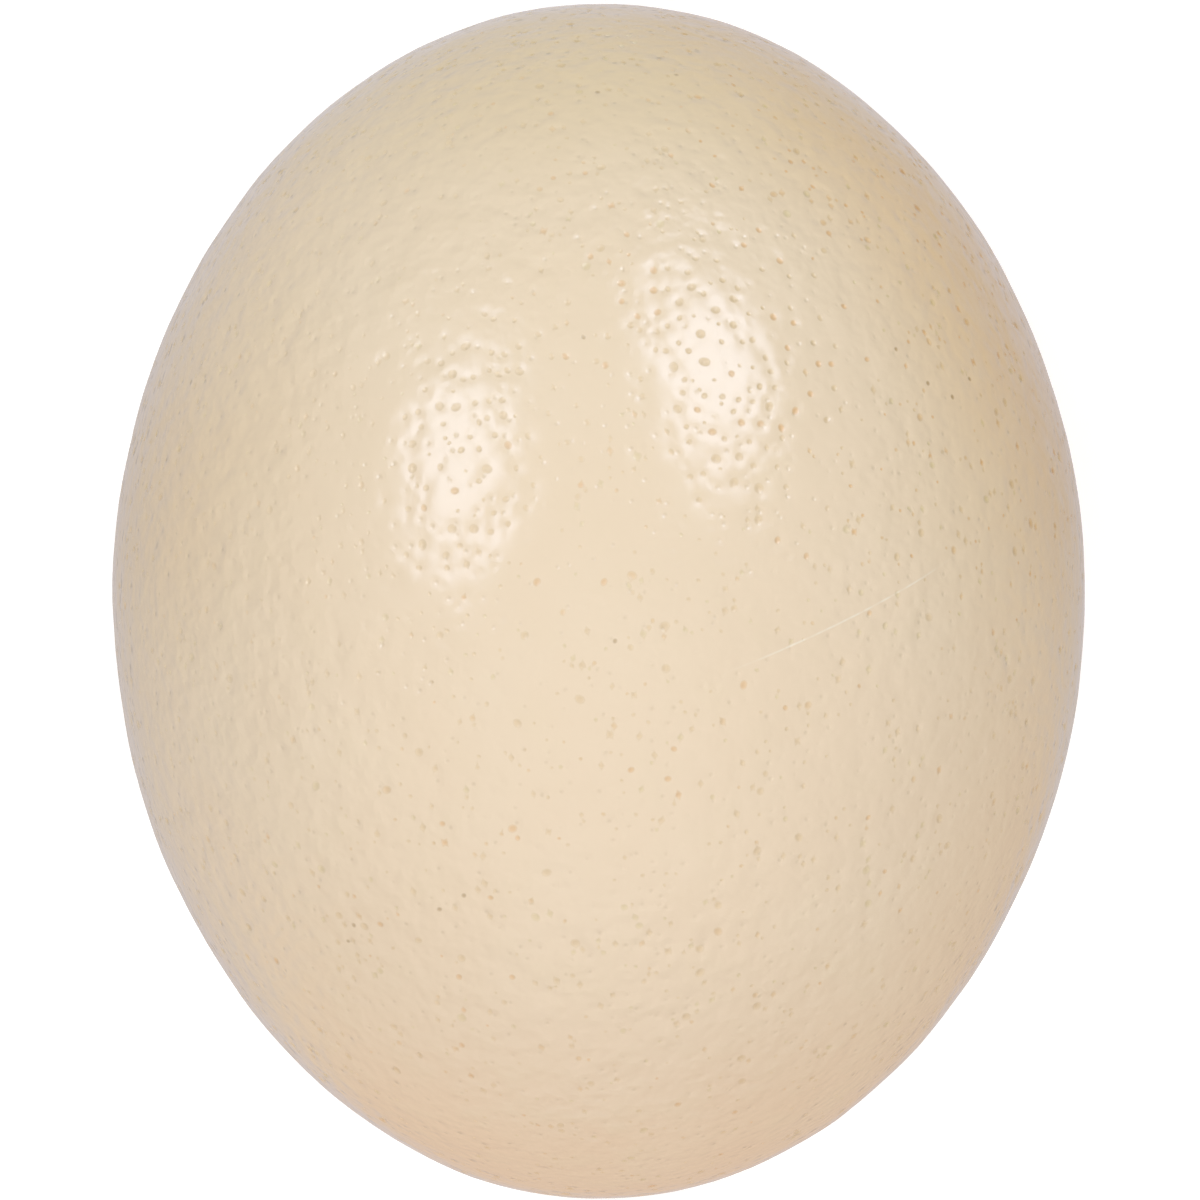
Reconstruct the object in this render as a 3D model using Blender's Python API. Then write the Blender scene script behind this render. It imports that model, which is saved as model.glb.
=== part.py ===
"""An ostrich egg, lying on its side on a small flat spot.

The egg is one closed solid, since a shell grows round its contents as one piece. Its long axis
runs along Y with the slightly fuller end at +Y, and the flat spot lies in the plane z = 0, round
the origin. The larger of the shell's pores are sunk into it as real pits.

Every point of the shell is named by a direction: a unit vector out of the egg's middle. The
function on_egg turns a direction into a place on the shell.
"""

import math

import bmesh
import bpy
import numpy as np
from mathutils import Vector
from mathutils.geometry import delaunay_2d_cdt

# The egg's form, in metres.
LENGTH = 0.155
WIDTH = 0.126
FULLER_END = 0.008  # share of the width by which the +Y end is fuller and the -Y end slimmer
SLIM_ENDS = 0.020  # share of the width that both ends lack beside a true ellipse
BOW = 0.0003  # how far both tips stand off to +X, because no shell is quite straight
FLAT_DEPTH = 0.00025  # what the flat spot takes off the round underside

# The pits, in metres.
PIT_COUNT = 620
PIT_SIDES = 5
PIT_WIDTHS = (0.0010, 0.0015)
PIT_STEEPNESS = 0.22  # depth as a share of the width
PIT_SPACING = 0.0030  # least distance between the centres of two pits

# The plain shell between the pits.
POINT_SPACING = 0.0058
ROOM = 0.55 * POINT_SPACING  # least distance from a plain point to a pit or a tip
FLAT_RIM_POINTS = 24
FLAT_CLEARANCE = 0.0025  # plain band kept round the flat spot
TIPS_AND_FLANKS = np.array([[0, 1, 0], [0, -1, 0], [1, 0, 0], [-1, 0, 0], [0, 0, 1]], float)

SHELL_COLOUR = (0.83, 0.70, 0.53, 1.0)
SHELL_ROUGHNESS = 0.28
CRISP_ANGLE = math.radians(12)  # plain facets meet flatter than this, and a pit's edge is steeper

SEED = 155
RIM_STEPS = 6
SAME_POINT = 1e-9
GOLDEN_ANGLE = math.pi * (3 - math.sqrt(5))
SEMI_AXES = np.array([WIDTH / 2, LENGTH / 2, WIDTH / 2])
AXIS_HEIGHT = WIDTH / 2 - FLAT_DEPTH


def girth(along):
    """The width at each share of the way from the middle to a tip, beside a true ellipse's."""
    return 1 + FULLER_END * along - SLIM_ENDS * along**2


def on_egg(directions):
    """The places on the smooth shell that lie in these directions."""
    along = directions[:, 1]
    places = directions * SEMI_AXES
    places[:, [0, 2]] *= girth(along)[:, None]
    places[:, 0] += BOW * along**2
    places[:, 2] += AXIS_HEIGHT
    return places


def direction_of(places):
    """The reverse of on_egg, for places on the shell or close to it."""
    along = places[:, 1] / SEMI_AXES[1]
    across = places - np.array([0, 0, AXIS_HEIGHT])
    across[:, 0] -= BOW * along**2
    across[:, [0, 2]] /= girth(along)[:, None]
    directions = across / SEMI_AXES
    return directions / np.linalg.norm(directions, axis=1, keepdims=True)


def outward(directions):
    """The shell's unit normals. The small taper and bow don't turn them enough to matter."""
    normals = directions / SEMI_AXES
    return normals / np.linalg.norm(normals, axis=1, keepdims=True)


def nearest(places, others):
    """The distance from each place to the nearest of the others."""
    return np.linalg.norm(places[:, None] - others[None], axis=2).min(axis=1)


def flat_rim():
    """The directions in which the shell meets the plane z = 0, once round the flat spot."""
    turn = np.linspace(0, 2 * math.pi, FLAT_RIM_POINTS, endpoint=False)
    down = np.full(FLAT_RIM_POINTS, -AXIS_HEIGHT / SEMI_AXES[2])
    for _ in range(RIM_STEPS):  # the girth changes little here, so this settles at once
        radius = np.sqrt(1 - down**2)
        rim = np.stack([radius * np.cos(turn), radius * np.sin(turn), down], axis=1)
        down = -AXIS_HEIGHT / (SEMI_AXES[2] * girth(rim[:, 1]))
    return rim


def clear_of_flat(directions, rim):
    """Which directions lie outside the flat spot and the plain band round it."""
    places = on_egg(directions)
    above = directions[:, 2] > rim[:, 2].max()
    return above & (nearest(places, on_egg(rim)) > FLAT_CLEARANCE)


def pit_centres(rim, rng):
    """Scatters the pits as pores lie in a real shell: anywhere, but never in one another."""
    chosen = np.empty((0, 3))
    while len(chosen) < PIT_COUNT:
        tries = rng.normal(size=(PIT_COUNT, 3))
        tries /= np.linalg.norm(tries, axis=1, keepdims=True)
        for direction in tries[clear_of_flat(tries, rim)]:
            place = on_egg(direction[None])
            if len(chosen) and nearest(place, on_egg(chosen))[0] < PIT_SPACING:
                continue
            chosen = np.vstack([chosen, direction])
    return chosen[:PIT_COUNT]


def pit_rims(centres, widths, rng):
    """The directions of the corners round each pit's edge, one row of corners for each pit."""
    normals = outward(centres)
    tips = np.array([0.0, 1.0, 0.0])
    side = np.cross(tips, normals)
    side /= np.linalg.norm(side, axis=1, keepdims=True)
    ahead = np.cross(normals, side)
    start = rng.uniform(0, 2 * math.pi, len(centres))
    rows = []
    for corner in range(PIT_SIDES):
        turn = start + 2 * math.pi * corner / PIT_SIDES
        reach = side * np.cos(turn)[:, None] + ahead * np.sin(turn)[:, None]
        rows.append(direction_of(on_egg(centres) + reach * widths[:, None] / 2))
    return np.concatenate(rows)


def plain_points(centres, rim):
    """Even points on a spiral from tip to tip, left out where there is a pit or the flat spot."""
    area = 4 * math.pi * (LENGTH * WIDTH**2 / 8) ** (2 / 3)  # close to a sphere of its volume
    count = round(area / POINT_SPACING**2)
    step = np.arange(count)
    along = 1 - (2 * step + 1) / count
    radius = np.sqrt(1 - along**2)
    turn = GOLDEN_ANGLE * step
    spiral = np.stack([radius * np.cos(turn), along, radius * np.sin(turn)], axis=1)
    taken = on_egg(np.concatenate([centres, TIPS_AND_FLANKS]))
    free = clear_of_flat(spiral, rim) & (nearest(on_egg(spiral), taken) > ROOM)
    return np.concatenate([TIPS_AND_FLANKS, spiral[free]])


def unrolled(directions):
    """Spreads the shell flat, as seen from the middle of the flat spot: circles stay circles."""
    return directions[:, :2] / (1 + directions[:, 2:])


def triangles(directions, rim_points):
    """Joins the directions into a net of triangles that ends at the flat spot's rim."""
    flat = [Vector(spot) for spot in unrolled(directions)]
    border = list(range(rim_points))
    inside_border = 1
    points, _, faces, *_ = delaunay_2d_cdt(flat, [], [border], inside_border, SAME_POINT, False)
    if len(points) != len(directions):
        raise RuntimeError("two points of the shell fell together")
    return faces


def shell_mesh():
    rng = np.random.default_rng(SEED)
    rim = flat_rim()
    centres = pit_centres(rim, rng)
    widths = rng.uniform(*PIT_WIDTHS, PIT_COUNT)
    corners = pit_rims(centres, widths, rng)
    plain = plain_points(centres, rim)

    floors = on_egg(centres) - outward(centres) * (PIT_STEEPNESS * widths)[:, None]
    places = np.concatenate([on_egg(rim), floors, on_egg(corners), on_egg(plain)])
    places[: len(rim), 2] = 0
    net = triangles(np.concatenate([rim, centres, corners, plain]), len(rim))

    shell = bmesh.new()
    points = [shell.verts.new(place) for place in places]
    for triangle in net:
        shell.faces.new([points[i] for i in triangle])
    shell.faces.new(points[: len(rim)][::-1])
    mesh = bpy.data.meshes.new("egg")
    shell.to_mesh(mesh)
    shell.free()
    mesh.shade_smooth()
    mesh.set_sharp_from_angle(angle=CRISP_ANGLE)
    return mesh


def shell_material():
    material = bpy.data.materials.new("ivory shell")
    material.use_nodes = True
    surface = material.node_tree.nodes["Principled BSDF"]
    surface.inputs["Base Color"].default_value = SHELL_COLOUR
    surface.inputs["Roughness"].default_value = SHELL_ROUGHNESS
    surface.inputs["Metallic"].default_value = 0.0
    return material


def main():
    for thing in list(bpy.data.objects):
        bpy.data.objects.remove(thing)
    egg = bpy.data.objects.new("egg", shell_mesh())
    egg.data.materials.append(shell_material())
    bpy.context.scene.collection.objects.link(egg)
    print(f"egg: {len(egg.data.vertices)} points, {len(egg.data.polygons)} faces")


main()
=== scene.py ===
# %% [markdown]
# # An ostrich egg
#
# An ostrich egg is the size of a small melon, and its shell is as thick and as glossy as glazed
# china. From across a room it looks plain and ivory. Close to, it is dotted with thousands of
# pores, each a pit of up to about a millimetre and a half, and the gloss between them is not quite
# even. This lesson builds the shell as one fine mesh, with thousands of pores as real pits in it,
# then gives it a glazed finish and photographs it from above.
#
# The egg lies on its side, with its long axis along Y. Everything is in metres.

# %% The frame that the shell is built round
import math

import bpy
import numpy as np
from mathutils import Matrix, Vector, kdtree
from mathutils.geometry import delaunay_2d_cdt


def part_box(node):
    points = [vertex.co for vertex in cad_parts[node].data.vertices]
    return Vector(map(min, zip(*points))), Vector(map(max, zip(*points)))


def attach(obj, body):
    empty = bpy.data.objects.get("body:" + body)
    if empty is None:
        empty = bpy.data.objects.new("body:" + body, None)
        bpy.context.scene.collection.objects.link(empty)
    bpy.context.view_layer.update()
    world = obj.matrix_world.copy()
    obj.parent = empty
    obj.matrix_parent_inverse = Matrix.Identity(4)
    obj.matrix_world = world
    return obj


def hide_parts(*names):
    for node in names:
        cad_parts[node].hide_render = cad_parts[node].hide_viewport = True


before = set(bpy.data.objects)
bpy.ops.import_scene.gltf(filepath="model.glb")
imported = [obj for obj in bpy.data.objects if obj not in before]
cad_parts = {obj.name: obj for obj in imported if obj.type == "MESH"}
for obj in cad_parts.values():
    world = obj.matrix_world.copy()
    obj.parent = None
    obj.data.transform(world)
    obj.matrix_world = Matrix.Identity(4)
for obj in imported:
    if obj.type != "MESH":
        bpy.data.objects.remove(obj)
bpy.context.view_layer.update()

low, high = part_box("egg")
print("solid egg, in mm:", [round(size * 1000, 1) for size in high - low])

# %% [markdown]
# ## The smooth form
#
# What it is: take the pores away, and an ostrich egg is close to an ellipsoid. It is a little
# slimmer at both ends, a hair fuller at one end than at the other, and never quite straight.
#
# How it could be made: a UV sphere scaled along one axis would do for the form, but its points
# crowd at the two poles, and the pores need points where they are, not where a grid puts them.
#
# Why this way: here the form is a function. It turns a direction out of the egg's middle into a
# place on the shell, so any number of points can be put anywhere, and all of them fit.

# %% The smooth form
WIDTH = high.x - low.x
LENGTH = high.y - low.y
AXIS_HEIGHT = high.z - WIDTH / 2
SEMI_AXES = np.array([WIDTH, LENGTH, WIDTH]) / 2
FULLER_END = 0.008  # share of the width by which the +Y end is fuller and the -Y end slimmer
SLIM_ENDS = 0.020  # share of the width that both ends lack beside a true ellipse
BOW = 0.0003  # how far both tips stand off to +X


def girth(along):
    """The width at each share of the way from the middle to a tip, beside a true ellipse's."""
    return 1 + FULLER_END * along - SLIM_ENDS * along**2


def on_egg(directions):
    """The places on the smooth shell that lie in these directions."""
    along = directions[:, 1]
    places = directions * SEMI_AXES
    places[:, [0, 2]] *= girth(along)[:, None]
    places[:, 0] += BOW * along**2
    places[:, 2] += AXIS_HEIGHT
    return places


def direction_of(places):
    """The reverse of on_egg, for places on the shell or close to it."""
    along = places[:, 1] / SEMI_AXES[1]
    across = places - np.array([0, 0, AXIS_HEIGHT])
    across[:, 0] -= BOW * along**2
    across[:, [0, 2]] /= girth(along)[:, None]
    return unit(across / SEMI_AXES)


def unit(vectors):
    return vectors / np.linalg.norm(vectors, axis=1, keepdims=True)


def outward(directions):
    """The smooth shell's unit normals."""
    return unit(directions / SEMI_AXES)


print("middle of the egg above the floor, in mm:", round(AXIS_HEIGHT * 1000, 2))

# %% [markdown]
# ## The camera
#
# What it is: the view is square on to the egg's side, with the fuller end at the top of the
# picture. The egg lies down, so the camera hangs above it and looks straight down.
#
# How it could be made: a camera can be nudged about until the outline fits the frame.
#
# Why this way: the outline that a camera sees is where its sight lines graze the egg. For an
# ellipsoid that has an exact answer, so the focal length is worked out instead. The camera comes
# first in the lesson, because a few marks further down are placed by where the picture shows
# them.

# %% The camera
PICTURE_SIDE = 1200  # pixels
OUTLINE_HALF_HEIGHT = 597.5  # pixels from the outline's middle to its top
OUTLINE_MIDDLE = (598.5, 601)  # column and row
CAMERA_DISTANCE = 0.62  # from the middle of the egg
SENSOR_WIDTH = 36.0  # millimetres

grazing = SEMI_AXES[1] / math.sqrt(CAMERA_DISTANCE**2 - SEMI_AXES[2] ** 2)
pixel_size = grazing / OUTLINE_HALF_HEIGHT  # at one metre
half_view = pixel_size * PICTURE_SIDE / 2
off_middle = np.array([PICTURE_SIDE / 2 - OUTLINE_MIDDLE[0], OUTLINE_MIDDLE[1] - PICTURE_SIDE / 2])
eye = np.array([*off_middle * pixel_size * CAMERA_DISTANCE, CAMERA_DISTANCE])  # from the egg's middle

camera = bpy.data.objects.new("camera", bpy.data.cameras.new("camera"))
camera.data.sensor_width = SENSOR_WIDTH
camera.data.lens = SENSOR_WIDTH / 2 / half_view
camera.location = eye + np.array([0, 0, AXIS_HEIGHT])
bpy.context.scene.collection.objects.link(camera)
bpy.context.scene.camera = camera


def under_pixel(column, row):
    """The direction of the point on the shell that the picture shows at this pixel."""
    across, up = column - PICTURE_SIDE / 2, PICTURE_SIDE / 2 - row
    start = eye / SEMI_AXES
    sight = np.array([across * pixel_size, up * pixel_size, -1]) / SEMI_AXES
    middle = -(start @ sight) / (sight @ sight)
    nearest_squared = start @ start - middle**2 * (sight @ sight)
    return start + sight * (middle - math.sqrt((1 - nearest_squared) / (sight @ sight)))


print("lens, in mm:", round(camera.data.lens, 1))

# %% [markdown]
# ## Where the pores are
#
# What it is: a pore is the mouth of a thin canal through the shell, at the bottom of a round pit
# with soft shoulders. The widest hollows are about 1.5 mm across, and the finest that are modelled
# are 0.5 mm. They lie at random, with no rows, but they don't cut into one another, and some lie
# in pairs.
#
# How it could be made: a bump texture could fake them, but it would leave the mesh smooth, and a
# grid of pits would look machined.
#
# Why this way: the largest pits are in the solid egg already, so they are found again on it: a
# pit's floor is a point that lies well under the smooth form, and how far tells how wide it is.
# Finer pits are then thrown at random, the widest first, and one that would cut into a pit that
# is already there is dropped.

# %% The largest pits, read off the solid egg
SOLID_STEEPNESS = 0.22  # depth of a solid's pit as a share of its width
SUNK = 0.0001  # a point deeper than this under the smooth form is a pit's floor
CORNER_DECIMALS = 7  # corners that agree to this many decimals of a metre are one


def largest_pits():
    corners = np.array([corner.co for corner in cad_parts["egg"].data.vertices])
    corners = np.unique(corners.round(CORNER_DECIMALS), axis=0)
    directions = direction_of(corners)
    depths = ((on_egg(directions) - corners) * outward(directions)).sum(axis=1)
    floors = depths > SUNK
    return directions[floors], depths[floors] / SOLID_STEEPNESS


large_directions, large_widths = largest_pits()
print("largest pits:", len(large_widths), "in mm:", (large_widths[:3] * 1000).round(2))

# %% Finer pits, thrown at random
rng = np.random.default_rng(126)
FINER_PITS = (  # how many, and the least and greatest width
    (1700, 0.00072, 0.00105),
    (3000, 0.00050, 0.00072),
)
DENSER_TOWARD = np.array([0, 0.5, 0.7])  # how much denser the pits lie at the fuller end and on top
TRIES = 6  # directions drawn for each pit, so that enough are left where few are wanted
PAIRED = 0.15  # share of the finer pits that lie beside a wider one
WALL = 0.00008  # least wall left between two pits
PAIR_WALLS = (1, 3)  # the wall between a pair, as a multiple of the least


def anywhere(count):
    return unit(rng.normal(size=(count, 3)))


def thrown(count):
    tries = anywhere(TRIES * count)
    density = 1 + tries @ DENSER_TOWARD
    return tries[rng.random(len(tries)) < density / density.max()][:count]


def beside(directions, distances):
    """Directions of points this far from those given, each off to a side of its own."""
    aside = np.cross(outward(directions), anywhere(len(directions)))
    return direction_of(on_egg(directions) + unit(aside) * distances[:, None])


def finer_pits():
    directions, widths = [large_directions], [large_widths]
    for count, least, greatest in FINER_PITS:
        found = thrown(count)
        wide = np.sort(rng.uniform(least, greatest, count))[::-1]
        neighbours = np.concatenate(directions)
        neighbour_widths = np.concatenate(widths)
        pick = rng.integers(0, len(neighbours), count)
        reach = (neighbour_widths[pick] + wide) / 2 + WALL * rng.uniform(*PAIR_WALLS, count)
        paired = rng.random(count) < PAIRED
        found[paired] = beside(neighbours[pick], reach)[paired]
        directions.append(found)
        widths.append(wide)
    return np.concatenate(directions), np.concatenate(widths)


# %% [markdown]
# ## Pores with a place of their own
#
# What it is: where the shell mirrors the lamps, every pore stands out as a dark dot, and a few
# stained pores can be told one by one.
#
# How it could be made: left to chance like the others.
#
# Why this way: these are the ones that an eye goes to, so each is put where the picture shows it.
# The numbers are its column and row there, and the camera turns them into a direction.

# %% Pores round the right lamp's reflection
ORANGE_RIGHT = [
    (626, 234), (621, 283), (621, 301), (653, 270), (759, 229), (744, 244), (780, 260),
    (653, 290), (657, 312), (637, 316), (773, 317), (793, 323), (787, 348), (818, 364),
    (831, 364), (731, 374), (697, 410), (741, 423), (760, 424), (781, 428), (810, 394),
    (795, 411), (712, 432), (744, 685), (778, 540),
]
WIDE_RIGHT = [
    (733, 325), (700, 334), (704, 362), (673, 367), (769, 407), (677, 409), (716, 459),
    (739, 457), (734, 483), (715, 310), (733, 299), (691, 287), (679, 302), (759, 488),
]
PLAIN_RIGHT = [
    (667, 268), (687, 272), (695, 258), (716, 260), (762, 269), (722, 280), (737, 288),
    (703, 294), (667, 289), (679, 318), (667, 326), (742, 342), (752, 340), (721, 342),
    (678, 343), (657, 332), (639, 330), (630, 325), (688, 351), (665, 351), (655, 350),
    (765, 358), (770, 372), (790, 308), (820, 318), (786, 363), (813, 343), (684, 380),
    (704, 396), (682, 393), (722, 397), (738, 400), (752, 402), (759, 387), (774, 388),
    (733, 412), (782, 438), (686, 427), (724, 439), (749, 442), (689, 442), (671, 452),
    (753, 466), (690, 477), (703, 474), (786, 487), (699, 500), (777, 467), (640, 379),
    (643, 396), (607, 336), (605, 365), (828, 508), (824, 250), (814, 275), (789, 276),
    (835, 346), (834, 388), (826, 420),
]
FINE_RIGHT = [
    (710, 283), (693, 316), (718, 324), (739, 366), (752, 368), (748, 314), (762, 308),
    (692, 381), (699, 390), (721, 404), (749, 392), (704, 423), (737, 437), (720, 469),
]

# %% Pores round the left lamp's reflection
ORANGE_LEFT = [
    (565, 356), (605, 365), (508, 445), (455, 491), (424, 508), (537, 582), (604, 582),
]
WIDE_LEFT = [
    (465, 346), (452, 374), (439, 406), (456, 407), (503, 415), (487, 469), (412, 444),
    (412, 468), (452, 529), (474, 529), (422, 545), (519, 371),
]
PLAIN_LEFT = [
    (484, 314), (493, 319), (514, 320), (538, 334), (567, 302), (452, 353), (427, 361),
    (441, 363), (518, 346), (491, 352), (504, 354), (551, 356), (596, 361), (463, 379),
    (473, 377), (489, 370), (498, 374), (507, 370), (425, 390), (475, 403), (489, 401),
    (502, 400), (418, 412), (421, 427), (405, 417), (443, 424), (479, 422), (487, 418),
    (470, 437), (495, 435), (461, 450), (479, 449), (528, 436), (419, 475), (440, 467),
    (479, 481), (426, 488), (408, 509), (384, 501), (494, 513), (506, 499), (491, 532),
    (508, 524), (460, 546), (446, 555), (406, 555), (419, 568), (447, 568), (526, 508),
    (533, 485), (516, 468), (548, 413), (576, 405), (587, 422), (567, 442), (581, 459),
]
FINE_LEFT = [
    (453, 391), (515, 416), (445, 438), (449, 443), (429, 454), (466, 471), (417, 486),
    (484, 500), (458, 511), (475, 516), (595, 335), (559, 444), (541, 457), (580, 547),
]

# %% Stained pores elsewhere
ORANGE_ELSEWHERE = [
    (584, 173), (552, 178), (712, 184), (813, 186), (846, 205), (844, 306), (867, 359),
    (786, 708), (870, 613), (674, 749), (377, 925), (489, 898), (870, 818), (828, 509),
    (807, 556), (631, 770), (668, 779), (441, 824), (456, 978), (510, 978), (887, 872),
]
BROWN_PORES = [
    (615, 641), (952, 397), (928, 383), (969, 379), (896, 349), (462, 896), (350, 926),
    (344, 942), (437, 910), (675, 75), (596, 93), (583, 337), (607, 335),
]
CHALKY_CHIPS = [(606, 35), (627, 35), (633, 42), (620, 46)]

NAMED_PORES = (  # where, how wide, and which stain
    (ORANGE_RIGHT + ORANGE_LEFT, 0.00105, "orange"),
    (WIDE_RIGHT + WIDE_LEFT, 0.00135, "plain"),
    (PLAIN_RIGHT + PLAIN_LEFT, 0.00090, "plain"),
    (FINE_RIGHT + FINE_LEFT, 0.00060, "plain"),
    (ORANGE_ELSEWHERE, 0.00085, "orange"),
    (BROWN_PORES, 0.00068, "brown"),
    (CHALKY_CHIPS, 0.00080, "chalk"),
)
WIDTH_SPREAD = (0.88, 1.12)  # a named pore's width beside the one that is listed

seen = np.array([under_pixel(*pixel) for pixels, _, _ in NAMED_PORES for pixel in pixels])
seen_widths = np.repeat(
    [width for _, width, _ in NAMED_PORES], [len(pixels) for pixels, _, _ in NAMED_PORES]
)
seen_kinds = [stain_and_shade for pixels, _, stain_and_shade in NAMED_PORES for _ in pixels]
seen_widths = seen_widths * rng.uniform(*WIDTH_SPREAD, len(seen))
print("pores with a place of their own:", len(seen))

# %% Dropping the pits that would cut into others
FLAT_MARGIN = 0.0015  # plain band kept round the flat spot
NAMED_REACH = 0.0022  # round the lamps' reflections, no other pit lies this near a named one
in_reflections = len(seen) - len(ORANGE_ELSEWHERE + BROWN_PORES + CHALKY_CHIPS)


def tree_of(places):
    tree = kdtree.KDTree(len(places))
    for number, place in enumerate(places):
        tree.insert(place, number)
    tree.balance()
    return tree


def kept(places, widths):
    """Goes from the first pit to the last, and drops each that would cut into one before it."""
    tree = tree_of(places)
    keep = np.ones(len(places), bool)
    for place in places[:in_reflections]:
        for _, other, _ in tree.find_range(place, NAMED_REACH):
            keep[other] = other < len(seen)
    for number, place in enumerate(places):
        if not keep[number]:
            continue
        reach = (widths[number] + widths.max()) / 2 + WALL
        for _, other, distance in tree.find_range(place, reach):
            if other > number and distance < (widths[number] + widths[other]) / 2 + WALL:
                keep[other] = False
    return keep


scattered, scattered_widths = finer_pits()
pits = np.concatenate([seen, scattered])
widths = np.concatenate([seen_widths, scattered_widths])
flat_radius = math.sqrt(1 - (AXIS_HEIGHT / SEMI_AXES[2]) ** 2)
flat_margin = flat_radius + FLAT_MARGIN / SEMI_AXES[0]
above_flat = pits[:, 2] > -math.sqrt(1 - flat_margin**2)
keep = kept(on_egg(pits), widths) & above_flat
print("pits thrown:", len(pits), "kept:", keep.sum(), "of them named:", keep[: len(seen)].sum())

# %% [markdown]
# ## The shape of a pit
#
# What it is: a pit has a steep round hollow in the middle, in which dust gathers, and the shell
# dips a little towards it from all round, like a saucer. Most hollows are not quite round. The
# saucers are so shallow that they only show in the gloss, as bright arcs round the pits.
#
# How it could be made: each pit could be cut with a Boolean, but thousands of cuts take minutes
# and leave a ragged net of faces.
#
# Why this way: the depth of a pit is a formula, so rings of points are laid round its middle and
# sunk by what the formula says. Narrow pits get fewer points than wide ones. The formula also
# gives the slope at each point, which the shading needs further down.

# %% Rings of points for the hollows
RINGS = (  # least width of pit, corners in a ring, and the rings as shares of the hollow's radius
    (0.00105, 8, (0.5, 1.0, 1.7)),
    (0.00072, 6, (0.52, 1.0, 1.75)),
    (0.0, 5, (0.54, 1.0)),
)
NAMED_RINGS = (12, (0.35, 0.7, 1.0, 1.6))  # the same for the pores with a place of their own
MOST_STRETCHED = 1.3  # longest width over the narrowest
STEEPNESS = (0.060, 0.108)  # a hollow's depth as a share of its width


def hollows(centres, widths, corners, rings):
    """For each point of the rings: its direction, depth, slope, share of the way in, and ring."""
    normals = outward(centres)
    side = unit(np.cross(anywhere(len(centres)), normals))
    ahead = np.cross(normals, side)
    stretch = np.sqrt(rng.uniform(1, MOST_STRETCHED, len(centres)))
    long_radius, short_radius = widths / 2 * stretch, widths / 2 / stretch
    deepest = rng.uniform(*STEEPNESS, len(centres)) * widths
    middles = on_egg(centres)
    rows = [(centres, deepest, np.zeros_like(centres), np.ones(len(centres)), widths * 0)]
    for number, share in enumerate(rings):
        within = max(1 - share**2, 0)
        for corner in range(corners):
            turn = 2 * math.pi * (corner + number / 2) / corners
            along, across = side * math.cos(turn), ahead * math.sin(turn)
            reach = along * long_radius[:, None] + across * short_radius[:, None]
            fall = along / long_radius[:, None] + across / short_radius[:, None]
            slope = -4 * share * within * deepest[:, None] * fall
            places = direction_of(middles + share * reach)
            inward, ring = np.full(len(centres), within), np.full(len(centres), share)
            rows.append((places, deepest * within**2, slope, inward, ring))
    return [np.concatenate(columns) for columns in zip(*rows)], len(rows)


# %% [markdown]
# ## Stained pores, with painted shade in their hollows
#
# What it is: dust and the grease of hands gather in the pores. Most pits are only a little
# darker than the shell round them, partly from that dust and partly from painted shade in their
# hollows. On the fuller end's right shoulder they hold more dust, and more of them are orange. A
# few hold a brown speck, and near the tip a few are chipped and show chalky white.
#
# How it could be made: a noise texture could colour patches of the shell, but its patches would
# not keep to the pits.
#
# Why this way: every pit is given a tint of its own, which is kept on its points as a colour
# attribute. The material multiplies the shell's colour by it. On the fuller end's left flank the
# tints are palest.

# %% A tint for every pit
# The pit tints are partly dust and partly painted shade: they darken each pit's hollow.
PLAIN, GREENISH = (0.89, 0.85, 0.745), (0.88, 0.88, 0.76)
ORANGE, PALE_ORANGE = (0.90, 0.77, 0.60), (0.90, 0.82, 0.68)
BROWN, CHALK = (0.66, 0.60, 0.50), (1.06, 1.13, 1.28)
TINTS = np.array([PLAIN, GREENISH, PALE_ORANGE, ORANGE])
TINT_SHARES = (0.62, 0.20, 0.13, 0.05)
DUSTIER_SHARES = (0.30, 0.20, 0.30, 0.20)
DUSTIER_TOWARD = np.array([0.68, 0.50, 0.54])
DUSTIER_FROM = 0.85  # how far along that direction the dustier pits begin
PALER_TOWARD = np.array([-0.80, 0.36, 0.48])
PALER_FROM = (0.60, 0.90)  # how far along that direction the tints start to pale and are palest
DUST_AND_SHADE = (0.88, 0.45)  # the strength of the tints before and after that
MOST_DUST_AND_SHADE = 1.2
SEEN_TINTS = {"plain": PLAIN, "orange": ORANGE, "brown": BROWN, "chalk": CHALK}

dustier = pits @ DUSTIER_TOWARD > DUSTIER_FROM
tints = np.where(
    dustier[:, None],
    TINTS[rng.choice(len(TINTS), len(pits), p=DUSTIER_SHARES)],
    TINTS[rng.choice(len(TINTS), len(pits), p=TINT_SHARES)],
)
tints[: len(seen)] = [SEEN_TINTS[stain_and_shade] for stain_and_shade in seen_kinds]
dust_and_shade = np.interp(pits @ PALER_TOWARD, PALER_FROM, DUST_AND_SHADE)
dust_and_shade[dustier] = MOST_DUST_AND_SHADE
tints = 1 - dust_and_shade[:, None] * (1 - tints)
named = np.arange(len(pits)) < len(seen)
pits, widths, tints, named = pits[keep], widths[keep], tints[keep], named[keep]

# %% All hollows, the named ones first and then the widest
groups = [(named, *NAMED_RINGS)]
narrower_than = math.inf
for least, corners, rings in RINGS:
    groups.append((~named & (widths >= least) & (widths < narrower_than), corners, rings))
    narrower_than = least

columns = []
reaches = np.zeros(len(pits))
for group, corners, rings in groups:
    reaches[group] = widths[group] / 2 * rings[-1]
    points, rows = hollows(pits[group], widths[group], corners, rings)
    columns.append(points + [np.tile(tints[group], (rows, 1))])
    print("hollows:", group.sum(), "corners in a ring:", corners, "points:", len(points[0]))
directions, depth, slope, inward, ring, stain_and_shade = [np.concatenate(column) for column in zip(*columns)]

# %% [markdown]
# ## Plain shell between the pits
#
# What it is: smooth shell, with room for nothing but its own curve.
#
# How it could be made: by a grid of quads, which would have to be cut open round every pit.
#
# Why this way: points on a spiral that turns by the golden angle lie evenly all over the egg, with
# no seam and no pole. Those that fall in a pit or too near one are left out.

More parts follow.
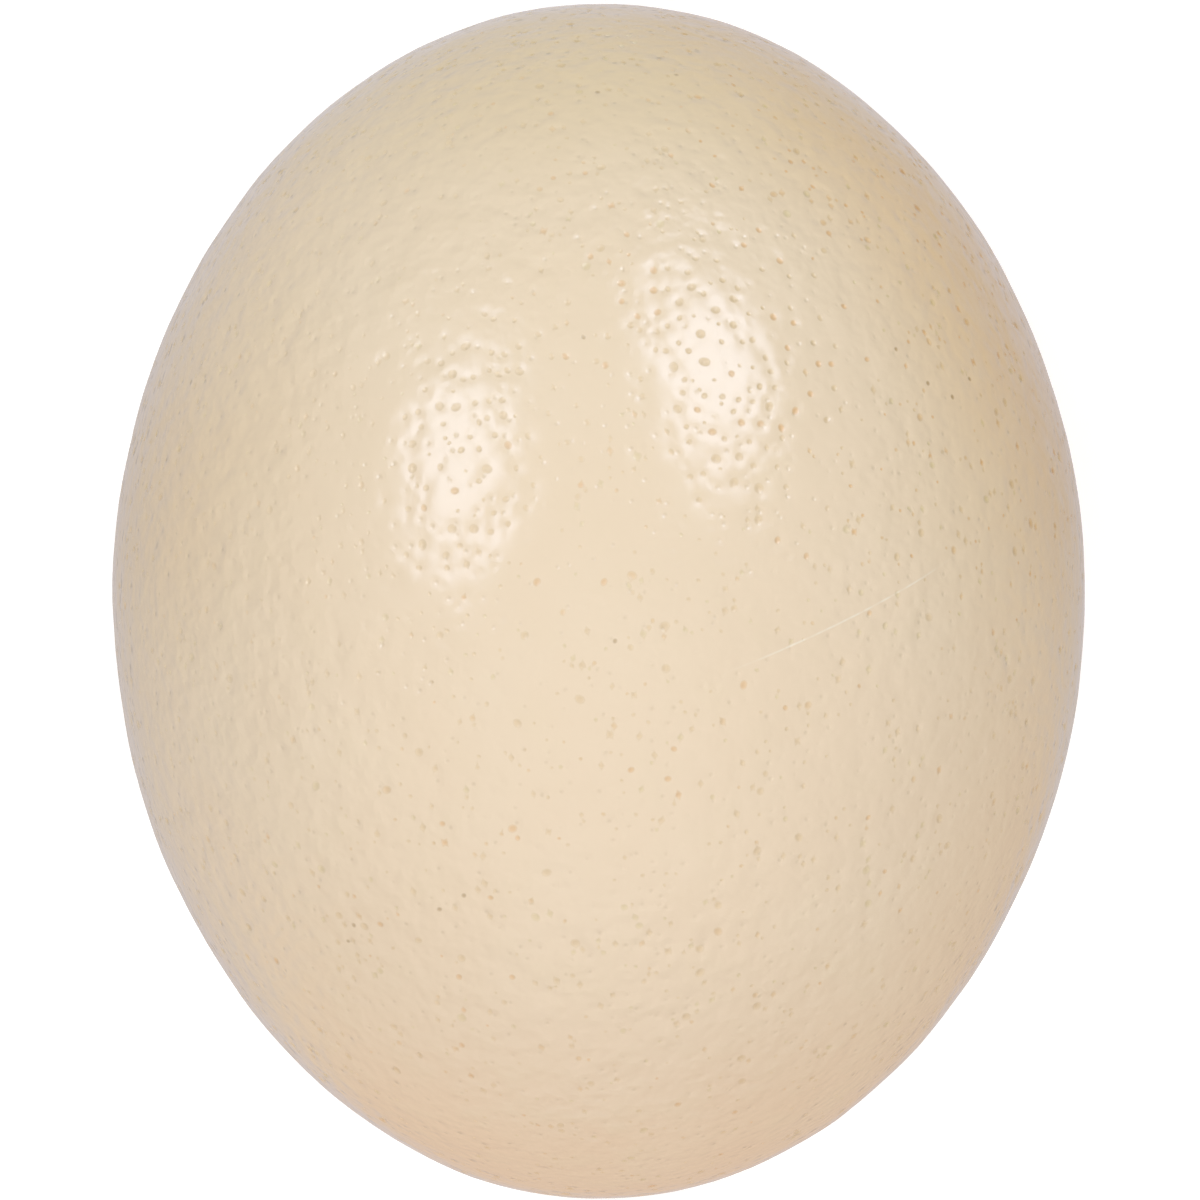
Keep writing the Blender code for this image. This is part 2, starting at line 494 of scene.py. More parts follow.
# %% Points on a golden spiral
POINT_SPACING = 0.0017
ROOM = 0.00050  # least distance from a plain point to the last ring round a pit
LEDGE = 0.00010  # least distance from a saucer's point to another pit's hollow
GOLDEN_ANGLE = math.pi * (3 - math.sqrt(5))


def spiral():
    area = 4 * math.pi * (LENGTH * WIDTH**2 / 8) ** (2 / 3)  # close to a sphere of its volume
    count = round(area / POINT_SPACING**2)
    step = np.arange(count)
    along = 1 - (2 * step + 1) / count
    radius = np.sqrt(1 - along**2)
    turn = GOLDEN_ANGLE * step
    return np.stack([radius * np.cos(turn), along, radius * np.sin(turn)], axis=1)


pit_tree = tree_of(on_egg(pits))


def clear_of_pits(directions, distances):
    """Which directions are further from every pit's middle than that pit's distance."""
    clear = np.ones(len(directions), bool)
    for number, spot in enumerate(on_egg(directions)):
        for _, pit, distance in pit_tree.find_range(spot, distances.max()):
            if distance < distances[pit]:
                clear[number] = False
                break
    return clear


hollow_reaches = widths / 2 * math.sqrt(MOST_STRETCHED) + LEDGE
in_saucer = ring > 1
usable = ~in_saucer
usable[in_saucer] = clear_of_pits(directions[in_saucer], hollow_reaches)
directions, depth, slope = directions[usable], depth[usable], slope[usable]
inward, stain_and_shade = inward[usable], stain_and_shade[usable]

plain = spiral()
plain = plain[plain[:, 2] > -math.sqrt(1 - flat_margin**2)]
plain = plain[clear_of_pits(plain, reaches + ROOM)]
print("saucer points dropped:", (~usable).sum(), "plain points:", len(plain))

# %% [markdown]
# ## The flat spot
#
# What it is: a round thing touches a table in one point, and would roll. The solid egg has a
# small flat spot underneath, and the shell follows it.
#
# How it could be made: by cutting the finished mesh with a plane.
#
# Why this way: the shell meets the floor in an oval, whose points are worked out. The net of
# triangles ends there, and a fan closes it.

# %% The rim of the flat spot
FLAT_RIM_POINTS = 72
RIM_STEPS = 6

turn = np.linspace(0, 2 * math.pi, FLAT_RIM_POINTS, endpoint=False)
down = np.full(FLAT_RIM_POINTS, -AXIS_HEIGHT / SEMI_AXES[2])
for _ in range(RIM_STEPS):  # the girth changes little here, so this settles at once
    radius = np.sqrt(1 - down**2)
    rim = np.stack([radius * np.cos(turn), radius * np.sin(turn), down], axis=1)
    down = -AXIS_HEIGHT / (SEMI_AXES[2] * girth(rim[:, 1]))
print("flat spot, in mm:", (np.ptp(on_egg(rim)[:, :2], axis=0) * 1000).round(2))

# %% [markdown]
# ## Waves in the shell
#
# What it is: between the pores the shell isn't quite even, which shows wherever it mirrors a
# lamp: the mirror image has wavering edges.
#
# How it could be made: with a Displace modifier and a clouds texture.
#
# Why this way: a sum of plane waves in random directions does the same, and its slope is known
# exactly at every point.

# %% Waves
WAVES = (  # wavelength and usual height
    (0.034, 0.00008),
    (0.011, 0.000026),
    (0.0045, 0.000007),
)
WAVES_OF_EACH = 24


def waves(places):
    """How far the waves lift each place, and their slope there."""
    lift, slope = np.zeros(len(places)), np.zeros_like(places)
    for length, height in WAVES:
        pace = anywhere(WAVES_OF_EACH) * 2 * math.pi / length
        phase = places @ pace.T + rng.uniform(0, 2 * math.pi, WAVES_OF_EACH)
        each = height * math.sqrt(2 / WAVES_OF_EACH)
        lift += each * np.sin(phase).sum(axis=1)
        slope += each * np.cos(phase) @ pace
    return lift, slope


# %% Saucers
SAUCER_LEAST_WIDTH = 0.00072  # a narrower pit has no saucer
SAUCER_REACH = 2.5  # radius beside the hollow's
SAUCER_STEEPNESS = 0.040  # depth as a share of the radius


def saucers(places):
    """How far the pits' saucers sink each place, and their slope there."""
    tree = tree_of(places)
    middles = on_egg(pits)
    pairs = [
        (spot, pit)
        for pit in np.flatnonzero(widths >= SAUCER_LEAST_WIDTH)
        for _, spot, _ in tree.find_range(middles[pit], widths[pit] / 2 * SAUCER_REACH)
    ]
    spots, owners = np.array(pairs).T
    radii = widths[owners] / 2 * SAUCER_REACH
    away = (places[spots] - middles[owners]) / radii[:, None]
    within = np.clip(1 - (away**2).sum(axis=1), 0, None)
    depth, slope = np.zeros(len(places)), np.zeros_like(places)
    np.add.at(depth, spots, SAUCER_STEEPNESS * radii * within**2)
    np.add.at(slope, spots, -4 * SAUCER_STEEPNESS * within[:, None] * away)
    return depth, slope


# %% [markdown]
# ## One net of triangles
#
# What it is: the glossy outer face of the shell, closed all round, with every pit in it.
#
# How it could be made: by a convex hull, which would skip the pits, or by remeshing, which would
# blur them.
#
# Why this way: seen from the middle of the flat spot, the whole shell can be spread out flat so
# that small circles stay circles. There, Delaunay's rule joins the points into the best shaped
# triangles, all in one call. Smooth shading normally guesses each normal from the faces round a
# point. Here the normals are known from the formulas, so they are set, and the pits look round
# although their rings have few corners.

# %% The shell
FACES_OUTSIDE_RIM = 1
SAME_POINT = 1e-9


def unrolled(directions):
    return directions[:, :2] / (1 + directions[:, 2:])


def net(directions, rim_points):
    flat = [Vector(spot) for spot in unrolled(directions)]
    border = list(range(rim_points))
    points, _, faces, *_ = delaunay_2d_cdt(flat, [], [border], FACES_OUTSIDE_RIM, SAME_POINT, False)
    print("triangles:", len(faces), "points lost:", len(directions) - len(points))
    return faces


directions = np.concatenate([rim, directions, plain])
depth = np.concatenate([np.zeros(len(rim)), depth, np.zeros(len(plain))])
slope = np.concatenate([np.zeros_like(rim), slope, np.zeros_like(plain)])
inward = np.concatenate([np.zeros(len(rim)), inward, np.zeros(len(plain))])
stain_and_shade = np.concatenate([np.ones_like(rim), stain_and_shade, np.ones_like(plain)])

smooth = on_egg(directions)
normals = outward(directions)
lift, wave_slope = waves(smooth)
sink, saucer_slope = saucers(smooth)
slope += saucer_slope - wave_slope
slope -= normals * (slope * normals).sum(axis=1)[:, None]
places = smooth + normals * (lift - sink - depth)[:, None]
normals = unit(normals + slope)
places[: len(rim), 2] = 0
places[:, 2] = np.maximum(places[:, 2], 0)  # nothing reaches below the flat spot

fan_middle = len(places)
fan = [(fan_middle, (i + 1) % len(rim), i) for i in range(len(rim))]
places = np.vstack([places, [0, 0, 0]])
normals = np.vstack([normals, [0, 0, -1]])
inward = np.append(inward, 0)
stain_and_shade = np.vstack([stain_and_shade, [1, 1, 1]])

mesh = bpy.data.meshes.new("eggshell")
mesh.from_pydata(places.tolist(), [], net(directions, len(rim)) + fan)
mesh.shade_smooth()
mesh.normals_split_custom_set_from_vertices(normals.tolist())

pit_share = mesh.attributes.new("pit", "FLOAT", "POINT")
pit_share.data.foreach_set("value", inward.astype(np.float32))
pit_tint = mesh.attributes.new("stain_and_shade", "FLOAT_COLOR", "POINT")
opaque = np.ones(len(stain_and_shade))
pit_tint.data.foreach_set("color", np.column_stack([stain_and_shade, opaque]).astype(np.float32).ravel())

eggshell = bpy.data.objects.new("eggshell", mesh)
bpy.context.scene.collection.objects.link(eggshell)
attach(eggshell, "root")
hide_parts("egg")
print("shell:", len(mesh.vertices), "points,", len(mesh.polygons), "triangles")

# %% [markdown]
# ## The colour of the shell
#
# What it is: warm ivory, more like straw at the fuller end and on its right shoulder, and tan at
# the slim tip, with faint clouds all over. The flanks of the upper half are a little darker and
# yellower: painted shade on the sides that turn away from the light.
#
# How it could be made: one plain colour would do from afar, but close to it looks like plastic.
#
# Why this way: each of these is a blend by place, so soft that none of them is seen alone. The
# tints of the pits come last, since dust, and the painted shade in their hollows, lie on top of the
# colour. The helpers that add the nodes work in whichever tree the names nodes, links and place
# stand for at the time, so the paper and the room's light use them too.

# %% Nodes
shell = bpy.data.materials.new("ivory shell")
shell.use_nodes = True
nodes, links = shell.node_tree.nodes, shell.node_tree.links
surface = nodes["Principled BSDF"]
place = nodes.new("ShaderNodeTexCoord").outputs["Object"]


def attribute(name, output):
    node = nodes.new("ShaderNodeAttribute")
    node.attribute_name = name
    return node.outputs[output]


def noise(size, detail=2.0):
    """Clouds of about this size, from 0 to 1."""
    node = nodes.new("ShaderNodeTexNoise")
    node.inputs["Scale"].default_value = 1 / size
    node.inputs["Detail"].default_value = detail
    links.new(place, node.inputs["Vector"])
    return node.outputs["Fac"]


def spread(value, low, high, start=0.0, end=1.0, soft=False):
    """Maps a value from start..end to low..high, with soft ends if asked."""
    node = nodes.new("ShaderNodeMapRange")
    node.interpolation_type = "SMOOTHSTEP" if soft else "LINEAR"
    links.new(value, node.inputs["Value"])
    for name, number in zip(("From Min", "From Max", "To Min", "To Max"), (start, end, low, high)):
        node.inputs[name].default_value = number
    return node.outputs["Result"]


def blended(kind, factor, first, second):
    """Blends two colours. Each may be another node's output or a plain colour."""
    node = nodes.new("ShaderNodeMix")
    node.data_type = "RGBA"
    node.blend_type = kind
    for socket, value in zip(("Factor_Float", "A_Color", "B_Color"), (factor, first, second)):
        target = next(item for item in node.inputs if item.identifier == socket)
        if isinstance(value, (tuple, float)):
            target.default_value = value
        else:
            links.new(value, target)
    return next(item for item in node.outputs if item.identifier == "Result_Color")


def product(*values):
    result = values[0]
    for value in values[1:]:
        node = nodes.new("ShaderNodeMath")
        node.operation = "MULTIPLY"
        links.new(result, node.inputs[0])
        links.new(value, node.inputs[1])
        result = node.outputs["Value"]
    return result


def vector_maths(operation, other):
    """What a vector operation makes of the place on the shell and another vector."""
    node = nodes.new("ShaderNodeVectorMath")
    node.operation = operation
    links.new(place, node.inputs[0])
    node.inputs[1].default_value = other
    return node.outputs["Value"]


# %% Colour
IVORY = (0.872, 0.738, 0.550, 1)
PINKER = (0.848, 0.677, 0.503, 1)
TAN_TIP = (0.865, 0.660, 0.480, 1)
CREAM = (0.880, 0.755, 0.585, 1)
STRAW = (0.840, 0.700, 0.505, 1)
STRAW_TIP = (0.825, 0.680, 0.450, 1)
TAN_FROM = (-0.078, -0.045)  # along Y: all tan, and none
STRAW_FROM = (0.045, 0.073)  # along Y: no straw, and all straw
SHOULDER = (0.050, 0.045, 0.038)  # a place inside the shell, under its yellow shoulder
SHOULDER_REACH = (0.050, 0.080)  # from there: all of its tint, and none
SHOULDER_TINT = (0.945, 0.84, 0.67, 1)
# Painted shade: the flanks of the upper half are darkened and yellowed as the light falls off there.
LEFT_FLANK_SHADE = (0.985, 0.955, 0.90, 1)
RIGHT_FLANK_SHADE = (0.99, 0.965, 0.90, 1)
FLANKS_FROM = (0.028, 0.055)  # along X: no tint, and all of it
UPPER_HALF_FROM = (-0.020, 0.015)  # along Y: no tint, and all of it
BROAD_CLOUDS, FINE_CLOUDS = 0.030, 0.006
FINE_CLOUD_DETAIL = 4.0
CREAM_SHARE = (0, 0.35, 0.45, 0.75)  # least and most cream, and the noise there
STRAW_SHARE = (0, 0.30, 0.50, 0.75)  # least and most straw, and the noise there
FULLY_STAINED_AND_SHADED = 0.80  # share of the way into a pit from which it has all of its tint

axis = nodes.new("ShaderNodeSeparateXYZ")
links.new(place, axis.inputs["Vector"])
toward_slim_end = spread(axis.outputs["Y"], 1, 0, -LENGTH / 2, LENGTH / 2)
colour = blended("MIX", toward_slim_end, IVORY, PINKER)
colour = blended("MIX", spread(axis.outputs["Y"], 1, 0, *TAN_FROM, True), colour, TAN_TIP)
colour = blended("MIX", spread(axis.outputs["Y"], 0, 1, *STRAW_FROM, True), colour, STRAW_TIP)
near_shoulder = spread(vector_maths("DISTANCE", SHOULDER), 1, 0, *SHOULDER_REACH, True)
colour = blended("MULTIPLY", near_shoulder, colour, SHOULDER_TINT)
upper_half = spread(axis.outputs["Y"], 0, 1, *UPPER_HALF_FROM, True)
far, near = (-reach for reach in reversed(FLANKS_FROM))
# Painted shade on both flanks of the upper half.
left_flank_shade = product(spread(axis.outputs["X"], 1, 0, far, near, True), upper_half)
colour = blended("MULTIPLY", left_flank_shade, colour, LEFT_FLANK_SHADE)
right_flank_shade = product(spread(axis.outputs["X"], 0, 1, *FLANKS_FROM, True), upper_half)
colour = blended("MULTIPLY", right_flank_shade, colour, RIGHT_FLANK_SHADE)
colour = blended("MIX", spread(noise(BROAD_CLOUDS), *CREAM_SHARE), colour, CREAM)
fine_clouds = spread(noise(FINE_CLOUDS, FINE_CLOUD_DETAIL), *STRAW_SHARE)
colour = blended("MIX", fine_clouds, colour, STRAW)
# Painted shade and dust: the pit's tint grows towards its bottom, darkening the hollow.
stained_and_shaded = spread(attribute("pit", "Fac"), 0, 1, 0, FULLY_STAINED_AND_SHADED)
colour = blended("MULTIPLY", stained_and_shaded, colour, attribute("stain_and_shade", "Color"))

# %% [markdown]
# ## The finest pores
# What it is: between the pits there are pores as fine as pinpricks, and round each of them the
# shell dips a little. Their middles are a little darker, partly from dust and partly as painted
# shade in the pinholes.
#
# How it could be made: as more rings of points, which would need ten times the mesh.
#
# Why this way: a Voronoi texture cuts space into cells. The shell passes some cells through the
# middle and others near the edge, so the dots come out in all sizes. Their depth follows with the
# relief further down.

# %% The finest pores
CELL = 0.0020  # spacing of the cells, of which each has one pore in its middle
FINEST_RADIUS = 0.00042
DIMPLE_RADIUS = 0.00100
# Painted shade and dust: the middle of each finest pore is darkened as if shaded in its pinhole.
FINEST_DUST_AND_SHADE = (0.93, 0.925, 0.90, 1)
FINEST_DUST_AND_SHADE_FROM = (0.2, 1.0)  # shares of the way into a pore: no stain, and all of it

cells = nodes.new("ShaderNodeTexVoronoi")
cells.inputs["Scale"].default_value = 1 / CELL
links.new(place, cells.inputs["Vector"])
finest = spread(cells.outputs["Distance"], 1, 0, 0, FINEST_RADIUS / CELL, True)
dimple = spread(cells.outputs["Distance"], 1, 0, 0, DIMPLE_RADIUS / CELL, True)
colour = blended("MULTIPLY", spread(finest, 0, 1, *FINEST_DUST_AND_SHADE_FROM), colour, FINEST_DUST_AND_SHADE)

# %% [markdown]
# ## A scratch
#
# What it is: a hair-fine pale scratch, some 35 mm long, that fades out at both ends.
#
# How it could be made: a thin strip of mesh would stand proud of the shell, and a groove would
# need fine points all along it.
#
# Why this way: a scratch made in one stroke lies in a plane. Three points on it give that plane,
# and the shell's colour changes only where it passes through.

# %% A scratch
SCRATCH = ((738, 668), (853, 617), (965, 548))  # its start, middle and end in the picture
SCRATCH_HALF_WIDTH = 0.00017
SCRATCH_CORE = 0.2  # share of the half width from which it pales off
SCRATCH_ENDS = (0.4, 1.05)  # shares of the half length: where it starts to fade, and is gone
SCRATCH_BREAKS = 0.0016  # length of its fainter stretches
SCRATCH_SHARE = (0.40, 1, 0.38, 0.55)  # least and most of the scratch, and the noise there
SCRATCHED = (0.92, 0.820, 0.675, 1)

first, midway, last = on_egg(np.array([under_pixel(*pixel) for pixel in SCRATCH]))
across_scratch = np.cross(midway - first, last - first)
across_scratch /= np.linalg.norm(across_scratch)
offset = nodes.new("ShaderNodeMath")
offset.operation = "SUBTRACT"
links.new(vector_maths("DOT_PRODUCT", across_scratch), offset.inputs[0])
offset.inputs[1].default_value = across_scratch @ midway
gap = nodes.new("ShaderNodeMath")
gap.operation = "ABSOLUTE"
links.new(offset.outputs["Value"], gap.inputs[0])
half_length = np.linalg.norm(last - first) / 2
fading, gone = (share * half_length for share in SCRATCH_ENDS)
scratch = product(
    spread(gap.outputs["Value"], 1, 0, SCRATCH_CORE * SCRATCH_HALF_WIDTH, SCRATCH_HALF_WIDTH),
    spread(vector_maths("DISTANCE", midway), 1, 0, fading, gone, True),
    spread(noise(SCRATCH_BREAKS, 1.0), *SCRATCH_SHARE),
)
colour = blended("MIX", scratch, colour, SCRATCHED)
links.new(colour, surface.inputs["Base Color"])
print("scratch, in mm:", round(2000 * half_length, 1))

# %% [markdown]
# ## The gloss
#
# What it is: the shell is as glossy as glazed china, but the pits are dull inside.
#
# How it could be made: with a clear coat over a matt shell.
#
# Why this way: the glaze isn't a coat but the shell's own polished surface, so one roughness is
# enough. Noise moves it a little, and the dust in the pits makes it rough there.

# %% Gloss
GLAZE_ROUGHNESS = (0.13, 0.19)
GLAZE_CLOUDS = 0.004
GLAZE_NOISE = (0.3, 0.7)  # the noise that gives the one roughness and the other
PIT_ROUGHNESS = 0.52
PIT_DULLNESS = (0, 0.9, 0.25, 1)  # least and most of it, and the shares of the way into a pit
FINEST_DULLNESS = 0.25
REFRACTION = 1.6

glaze = spread(noise(GLAZE_CLOUDS, 3.0), *GLAZE_ROUGHNESS, *GLAZE_NOISE)
dull = nodes.new("ShaderNodeMath")
dull.operation = "MAXIMUM"
links.new(spread(attribute("pit", "Fac"), *PIT_DULLNESS), dull.inputs[0])
links.new(spread(finest, 0, FINEST_DULLNESS), dull.inputs[1])
gloss = nodes.new("ShaderNodeMix")
links.new(dull.outputs["Value"], gloss.inputs["Factor"])
links.new(glaze, gloss.inputs["A"])
gloss.inputs["B"].default_value = PIT_ROUGHNESS
links.new(gloss.outputs["Result"], surface.inputs["Roughness"])
surface.inputs["IOR"].default_value = REFRACTION

# %% [markdown]
# ## The finest relief
#
# What it is: the shell feels like fine leather. The grain is plainest on the egg's upper side,
# apart from a few smoother patches there, and fades further down.
#
# How it could be made: by displacing a much finer mesh.
#
# Why this way: most of this relief is less than a tenth of a millimetre high, too shallow to change
# the outline. A bump tilts the light on it just as well. All heights are summed up first, in
# metres.

# %% The finest relief
RELIEF_SIZE = 0.0030
RELIEF_HEIGHT = 0.00050
RELIEF_DETAIL = 1.5
RELIEF_BY_HEIGHT = (0.25, 1, 0.068, 0.098)  # least and most of it, and how high up along Z
DIMPLE_DEPTH = 0.000065
DIMPLE_LEFT = 0.45  # share of the dimples' depth that is left where the shell is smoothest
FINEST_DEPTH = 0.000048
SMOOTHER = (  # smoother patches: middle in the picture, what is left there, and both radii
    ((715, 385), 0.12, 0.013, 0.026),
    ((460, 470), 0.12, 0.014, 0.027),
    ((600, 660), 0.50, 0.015, 0.042),
    ((985, 640), 0.65, 0.018, 0.045),
    ((840, 880), 0.75, 0.015, 0.035),
)


def weighted_sum(*terms):
    total = None
    for value, weight in terms:
        node = nodes.new("ShaderNodeMath")
        node.operation = "MULTIPLY_ADD"
        links.new(value, node.inputs[0])
        node.inputs[1].default_value = weight
        node.inputs[2].default_value = 0
        if total:
            links.new(total, node.inputs[2])
        total = node.outputs["Value"]
    return total


patches = []
for pixel, left, inner, outer in SMOOTHER:
    spot = on_egg(under_pixel(*pixel)[None])[0]
    patches.append(spread(vector_maths("DISTANCE", spot), left, 1, inner, outer, True))
rough = product(spread(axis.outputs["Z"], *RELIEF_BY_HEIGHT, True), *patches)
uneven = product(noise(RELIEF_SIZE, RELIEF_DETAIL), rough)
dimples = product(dimple, spread(rough, DIMPLE_LEFT, 1))
bump = nodes.new("ShaderNodeBump")
bump.inputs["Distance"].default_value = 1.0  # the heights are in metres already
links.new(
    weighted_sum((uneven, RELIEF_HEIGHT), (dimples, -DIMPLE_DEPTH), (finest, -FINEST_DEPTH)),
    bump.inputs["Height"],
)
links.new(bump.outputs["Normal"], surface.inputs["Normal"])
mesh.materials.append(shell)
print("nodes in the finish:", len(nodes))

# %% [markdown]
# ## The paper
#
# What it is: a sheet of pale paper under the egg, which bends up far behind it into walls.
#
# How it could be made: one large plane, which would end in a hard horizon from the side.
#
# Why this way: a round sweep looks the same from every side. The paper glows a little, so that it
# stays close to white, and it keeps its own light off the egg, which is lit apart from it.

# %% The paper
SWEEP_PROFILE = ((0, 0), (2.2, 0), (2.6, 0.08), (2.9, 0.3), (3.1, 0.7), (3.15, 1.2), (3.15, 3.5))
SWEEP_SIDES = 64
PAPER_WHITE = (0.90, 0.90, 0.90, 1)
FLOOR_GLOW = 0.39
WALL_GLOW = 0.85
WALL_HEIGHT = 0.7

points, faces = [], []
for radius, height in SWEEP_PROFILE[1:]:
    for side in range(SWEEP_SIDES):
        turn = 2 * math.pi * side / SWEEP_SIDES
        points.append((radius * math.cos(turn), radius * math.sin(turn), height))
for row in range(len(SWEEP_PROFILE) - 2):
    for side in range(SWEEP_SIDES):
        a, b = row * SWEEP_SIDES + side, row * SWEEP_SIDES + (side + 1) % SWEEP_SIDES
        faces.append((a, a + SWEEP_SIDES, b + SWEEP_SIDES, b))
faces.append(tuple(range(SWEEP_SIDES)))
sweep_mesh = bpy.data.meshes.new("paper sweep")
sweep_mesh.from_pydata(points, [], faces)
sweep_mesh.shade_smooth()
sweep = bpy.data.objects.new("paper_sweep", sweep_mesh)
bpy.context.scene.collection.objects.link(sweep)
sweep.visible_diffuse = False
sweep.visible_glossy = False
sweep.visible_shadow = False

paper = bpy.data.materials.new("pale paper")
paper.use_nodes = True
nodes, links = paper.node_tree.nodes, paper.node_tree.links
place = nodes.new("ShaderNodeTexCoord").outputs["Object"]
sheet = nodes["Principled BSDF"]
sheet.inputs["Base Color"].default_value = PAPER_WHITE
sheet.inputs["Roughness"].default_value = 1.0
sheet.inputs["Specular IOR Level"].default_value = 0.0
sheet.inputs["Emission Color"].default_value = (1, 1, 1, 1)
above_floor = nodes.new("ShaderNodeSeparateXYZ")
links.new(place, above_floor.inputs["Vector"])
glow = spread(above_floor.outputs["Z"], FLOOR_GLOW, WALL_GLOW, 0, WALL_HEIGHT)
links.new(glow, sheet.inputs["Emission Strength"])
sweep_mesh.materials.append(paper)

# %% [markdown]
# ## The room's light
#
# What it is: light that comes from the walls and from under the egg. Near its outline the shell
# mirrors what lies beneath, and the gloss is strongest there, so this is what rims the egg.
#
# How it could be made: with a grey world, which leaves the outline lifeless.
#
# Why this way: the light from below gets one tone past each end and one past the flanks. The
# gloss is given a cooler tone than the shell itself, because paper and table are seen in the one
# and only brighten the other.

# %% The room's light
WALLS = (0.36, 0.36, 0.36, 1)
WALLS_FROM = (-0.5, 0.1)  # along Z, for a ray of length one: only the light from below, only walls
SLIM_END_SIDE = (0.30, -0.954, 0)
SLIM_END_FROM = (0.18, 0.40)  # along that direction: none of its tone, and all of it
FULLER_END_FROM = (0.02, 0.30)  # along Y: none of its tone, and all of it
# The light from below: past the slim end, past the flanks and past the fuller end.
MIRRORED = (0.73, 0.56, 0.46, 1), (0.62, 0.60, 0.66, 1), (0.72, 0.71, 0.82, 1)
SCATTERED = (0.58, 0.41, 0.16, 1), (0.52, 0.44, 0.25, 1), (0.45, 0.38, 0.12, 1)

world = bpy.data.worlds.new("white room")
world.use_nodes = True
nodes, links = world.node_tree.nodes, world.node_tree.links
place = nodes.new("ShaderNodeTexCoord").outputs["Generated"]
sky = nodes.new("ShaderNodeSeparateXYZ")
links.new(place, sky.inputs["Vector"])
not_past_slim_end = spread(vector_maths("DOT_PRODUCT", SLIM_END_SIDE), 1, 0, *SLIM_END_FROM, True)
past_fuller_end = spread(sky.outputs["Y"], 0, 1, *FULLER_END_FROM, True)


def from_below(slim_end, flanks, fuller_end):
    nearer = blended("MIX", not_past_slim_end, slim_end, flanks)
    return blended("MIX", past_fuller_end, nearer, fuller_end)


in_the_gloss = nodes.new("ShaderNodeLightPath").outputs["Is Glossy Ray"]
underneath = blended("MIX", in_the_gloss, from_below(*SCATTERED), from_below(*MIRRORED))
upward = spread(sky.outputs["Z"], 0, 1, *WALLS_FROM)
links.new(blended("MIX", upward, underneath, WALLS), nodes["Background"].inputs["Color"])
bpy.context.scene.world = world
bpy.context.scene.view_settings.view_transform = "Standard"

# %% [markdown]
# ## The lamps
#
# What it is: two softboxes high on the left and the right, whose reflections lie on the shell,
# and broad soft light over the rest.
#
# How it could be made: one lamp for each softbox, which gives a reflection with a hard edge.
#
# Why this way: each softbox is two lamps. One only lights the shell. The other only shows in the
# gloss, and fades towards its edge. The egg mirrors a lamp where its normal halves the angle to
# it, so that lamp's place is worked out from where its reflection lies. The left reflection is a
# little smaller and dimmer, and the right one is turned a little.

# %% Lamps
MIDDLE = Vector((0, 0, AXIS_HEIGHT))


def lamp(name, toward, distance, width, height, brightness):
    """A rectangular lamp that faces the egg from this direction. Brightness is its radiance."""
    light = bpy.data.lights.new(name, "AREA")
    light.shape = "RECTANGLE"
    light.size, light.size_y = width, height
    light.energy = brightness * math.pi * width * height
    away = Vector(toward).normalized()
    right = Vector((0, 1, 0)).cross(away).normalized()
    turned = Matrix((right, away.cross(right), away)).transposed().to_4x4()
    holder = bpy.data.objects.new(name, light)
    holder.matrix_world = Matrix.Translation(MIDDLE + away * distance) @ turned
    holder.visible_camera = False
    bpy.context.scene.collection.objects.link(holder)
    return holder


# %% Two softboxes
SOFTBOX_DISTANCE = 1.2
SOFTBOX = (0.52, 0.76)  # width and height
SOFTBOX_BRIGHTNESS = 3.1
GLOW_DISTANCE = 1.1  # in front of the softbox: of two lamps in one plane, a gloss shows but one
GLOWING = (0.76, 1.00)
GLOW_COLOUR = (0.66, 0.78, 1.08)
GLOW = 4.1
GLOW_FADES = (0.12, 0.50)  # as shares of its width and height: where it starts to fade, and is gone
LEFT_SHARE = 0.88
RIGHT_TURN = math.radians(-7)
TOWARD_RIGHT, TOWARD_LEFT = (0.447, 0.553, 0.704), (-0.528, 0.349, 0.774)
RIGHT_REFLECTION, LEFT_REFLECTION = (707, 365), (459, 464)  # column and row of its middle


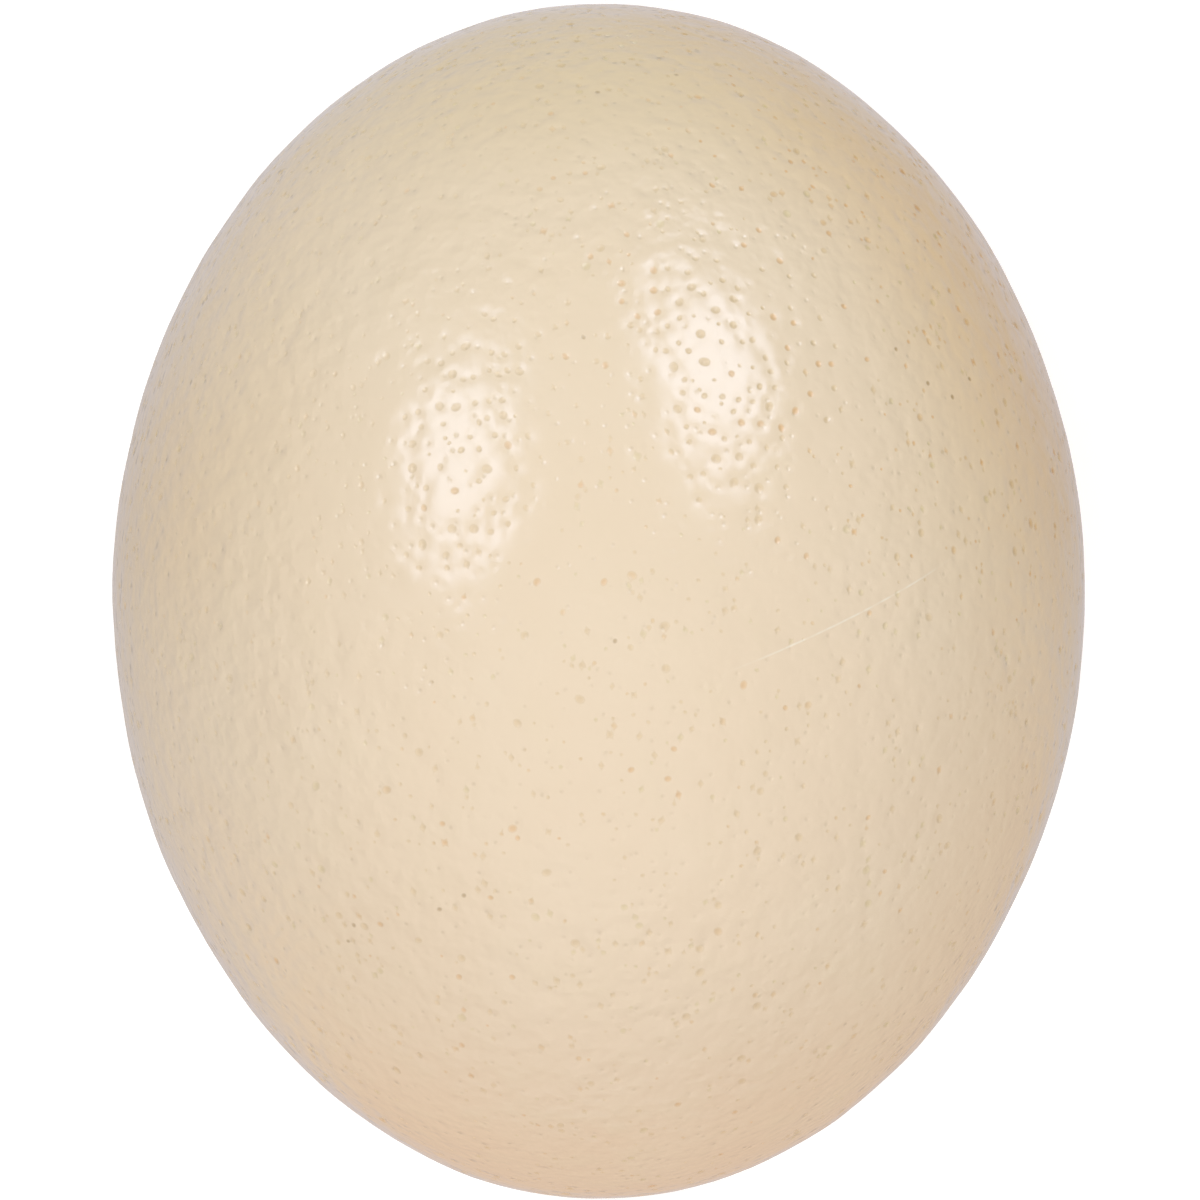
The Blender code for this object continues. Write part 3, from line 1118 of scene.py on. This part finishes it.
def soft_edged(light):
    """Makes a lamp brightest in its middle, by where on the lamp a ray meets it."""
    light.use_nodes = True
    nodes, links = light.node_tree.nodes, light.node_tree.links
    spot = nodes.new("ShaderNodeVectorMath")
    spot.operation = "DISTANCE"
    links.new(nodes.new("ShaderNodeNewGeometry").outputs["Parametric"], spot.inputs[0])
    spot.inputs[1].default_value = (0.5, 0.5, 0)
    fall = nodes.new("ShaderNodeMapRange")
    fall.interpolation_type = "SMOOTHSTEP"
    links.new(spot.outputs["Value"], fall.inputs["Value"])
    for name, number in zip(("From Min", "From Max", "To Min", "To Max"), (*GLOW_FADES, 1, 0)):
        fall.inputs[name].default_value = number
    links.new(fall.outputs["Result"], nodes["Emission"].inputs["Strength"])


def mirrored_toward(column, row):
    """The direction of the lamp whose reflection the picture shows at this pixel."""
    spot = under_pixel(column, row)
    normal = outward(spot[None])[0]
    place = spot * SEMI_AXES
    sight = (place - eye) / np.linalg.norm(place - eye)
    ray = sight - 2 * (sight @ normal) * normal
    along = place @ ray
    return place + ray * (math.sqrt(along**2 - place @ place + GLOW_DISTANCE**2) - along)


def softbox(name, toward, reflection, share, turn):
    """A softbox, and the lamp for its reflection: smaller and dimmer by this share, and turned."""
    lamp(name, toward, SOFTBOX_DISTANCE, *SOFTBOX, SOFTBOX_BRIGHTNESS).visible_glossy = False
    width, height, brightness = GLOWING[0] * share, GLOWING[1] * share, GLOW * share
    toward_glow = mirrored_toward(*reflection)
    mirrored = lamp(name + " in the gloss", toward_glow, GLOW_DISTANCE, width, height, brightness)
    mirrored.matrix_world = mirrored.matrix_world @ Matrix.Rotation(turn, 4, "Z")
    mirrored.data.color = GLOW_COLOUR
    mirrored.visible_diffuse = False
    soft_edged(mirrored.data)


softbox("right softbox", TOWARD_RIGHT, RIGHT_REFLECTION, 1, RIGHT_TURN)
softbox("left softbox", TOWARD_LEFT, LEFT_REFLECTION, LEFT_SHARE, 0)

# %% Broad light
TOWARD_CEILING, TOWARD_LOW_FILL = (0, -0.5, 0.866), (0, -0.985, 0.174)

ceiling = lamp("ceiling", TOWARD_CEILING, distance=2.0, width=2.0, height=2.0, brightness=1.25)
low_fill = lamp("low fill", TOWARD_LOW_FILL, distance=1.8, width=1.6, height=1.2, brightness=1.1)
ceiling.visible_glossy = False
low_fill.visible_glossy = False
